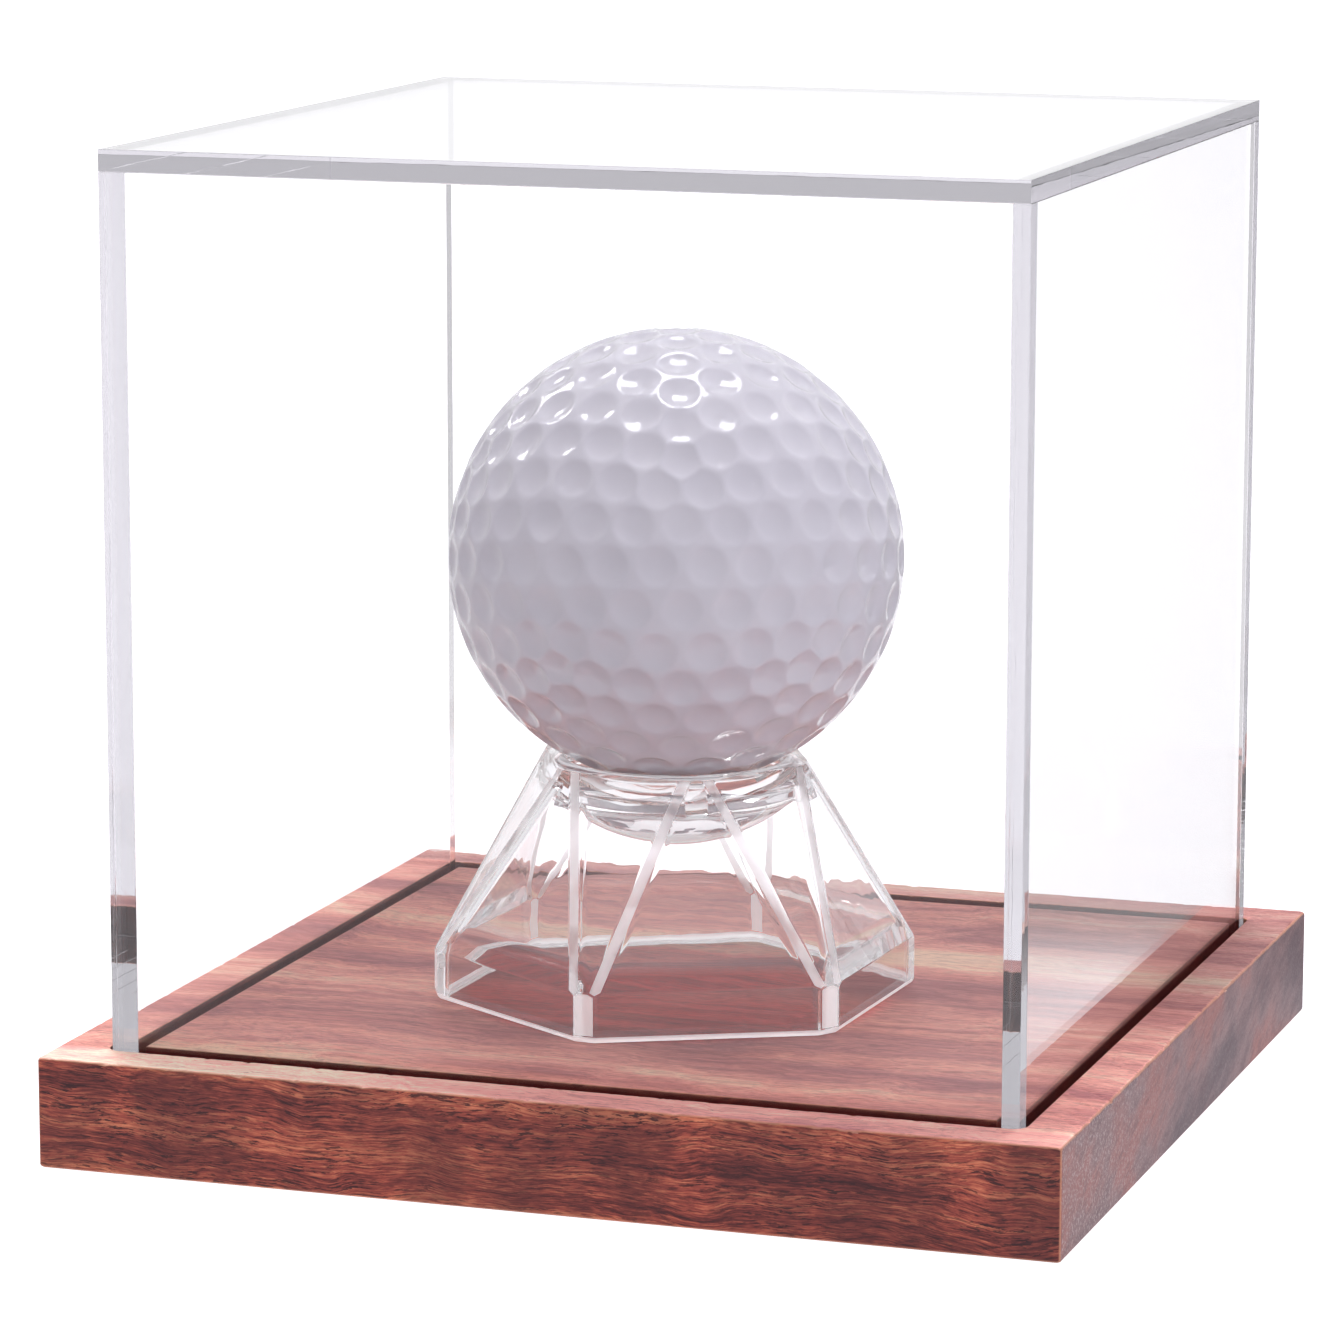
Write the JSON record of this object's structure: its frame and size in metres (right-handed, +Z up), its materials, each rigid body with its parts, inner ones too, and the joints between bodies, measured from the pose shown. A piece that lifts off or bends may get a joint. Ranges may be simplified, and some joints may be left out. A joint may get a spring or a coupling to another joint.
{
  "type": "ball display case",
  "caption": "Square wooden display case with a lift-off clear acrylic cover, a faceted clear stand and a dimpled golf ball resting in its cup.",
  "frame": {"origin": "centre of the base's underside", "axes": "+Z up, +X along the front from left to right, -Y towards the front"},
  "size_m": [0.0952, 0.0952, 0.0918],
  "materials": {
    "walnut": "satin oiled walnut",
    "acrylic": "polished clear acrylic sheet",
    "moulded_clear": "clear injection-moulded plastic",
    "ball_coat": "glossy white ball cover"
  },
  "bodies": {
    "base": {"base_block": "walnut"},
    "cover": {"cover_front_panel": "acrylic", "cover_back_panel": "acrylic", "cover_left_panel": "acrylic", "cover_right_panel": "acrylic", "cover_top_panel": "acrylic"},
    "stand": {"ball_stand": "moulded_clear"},
    "ball": {"golf_ball": "ball_coat"}
  },
  "joints": [
    {"name": "cover_lift", "type": "slide", "parent": "base", "child": "cover", "axis": [0, 0, 1], "range_m": [0, 0.1]},
    {"name": "stand_lift", "type": "slide", "parent": "base", "child": "stand", "axis": [0, 0, 1], "range_m": [0, 0.008]},
    {"name": "ball_lift", "type": "slide", "parent": "stand", "child": "ball", "axis": [0, 0, 1], "range_m": [0, 0.008]}
  ]
}
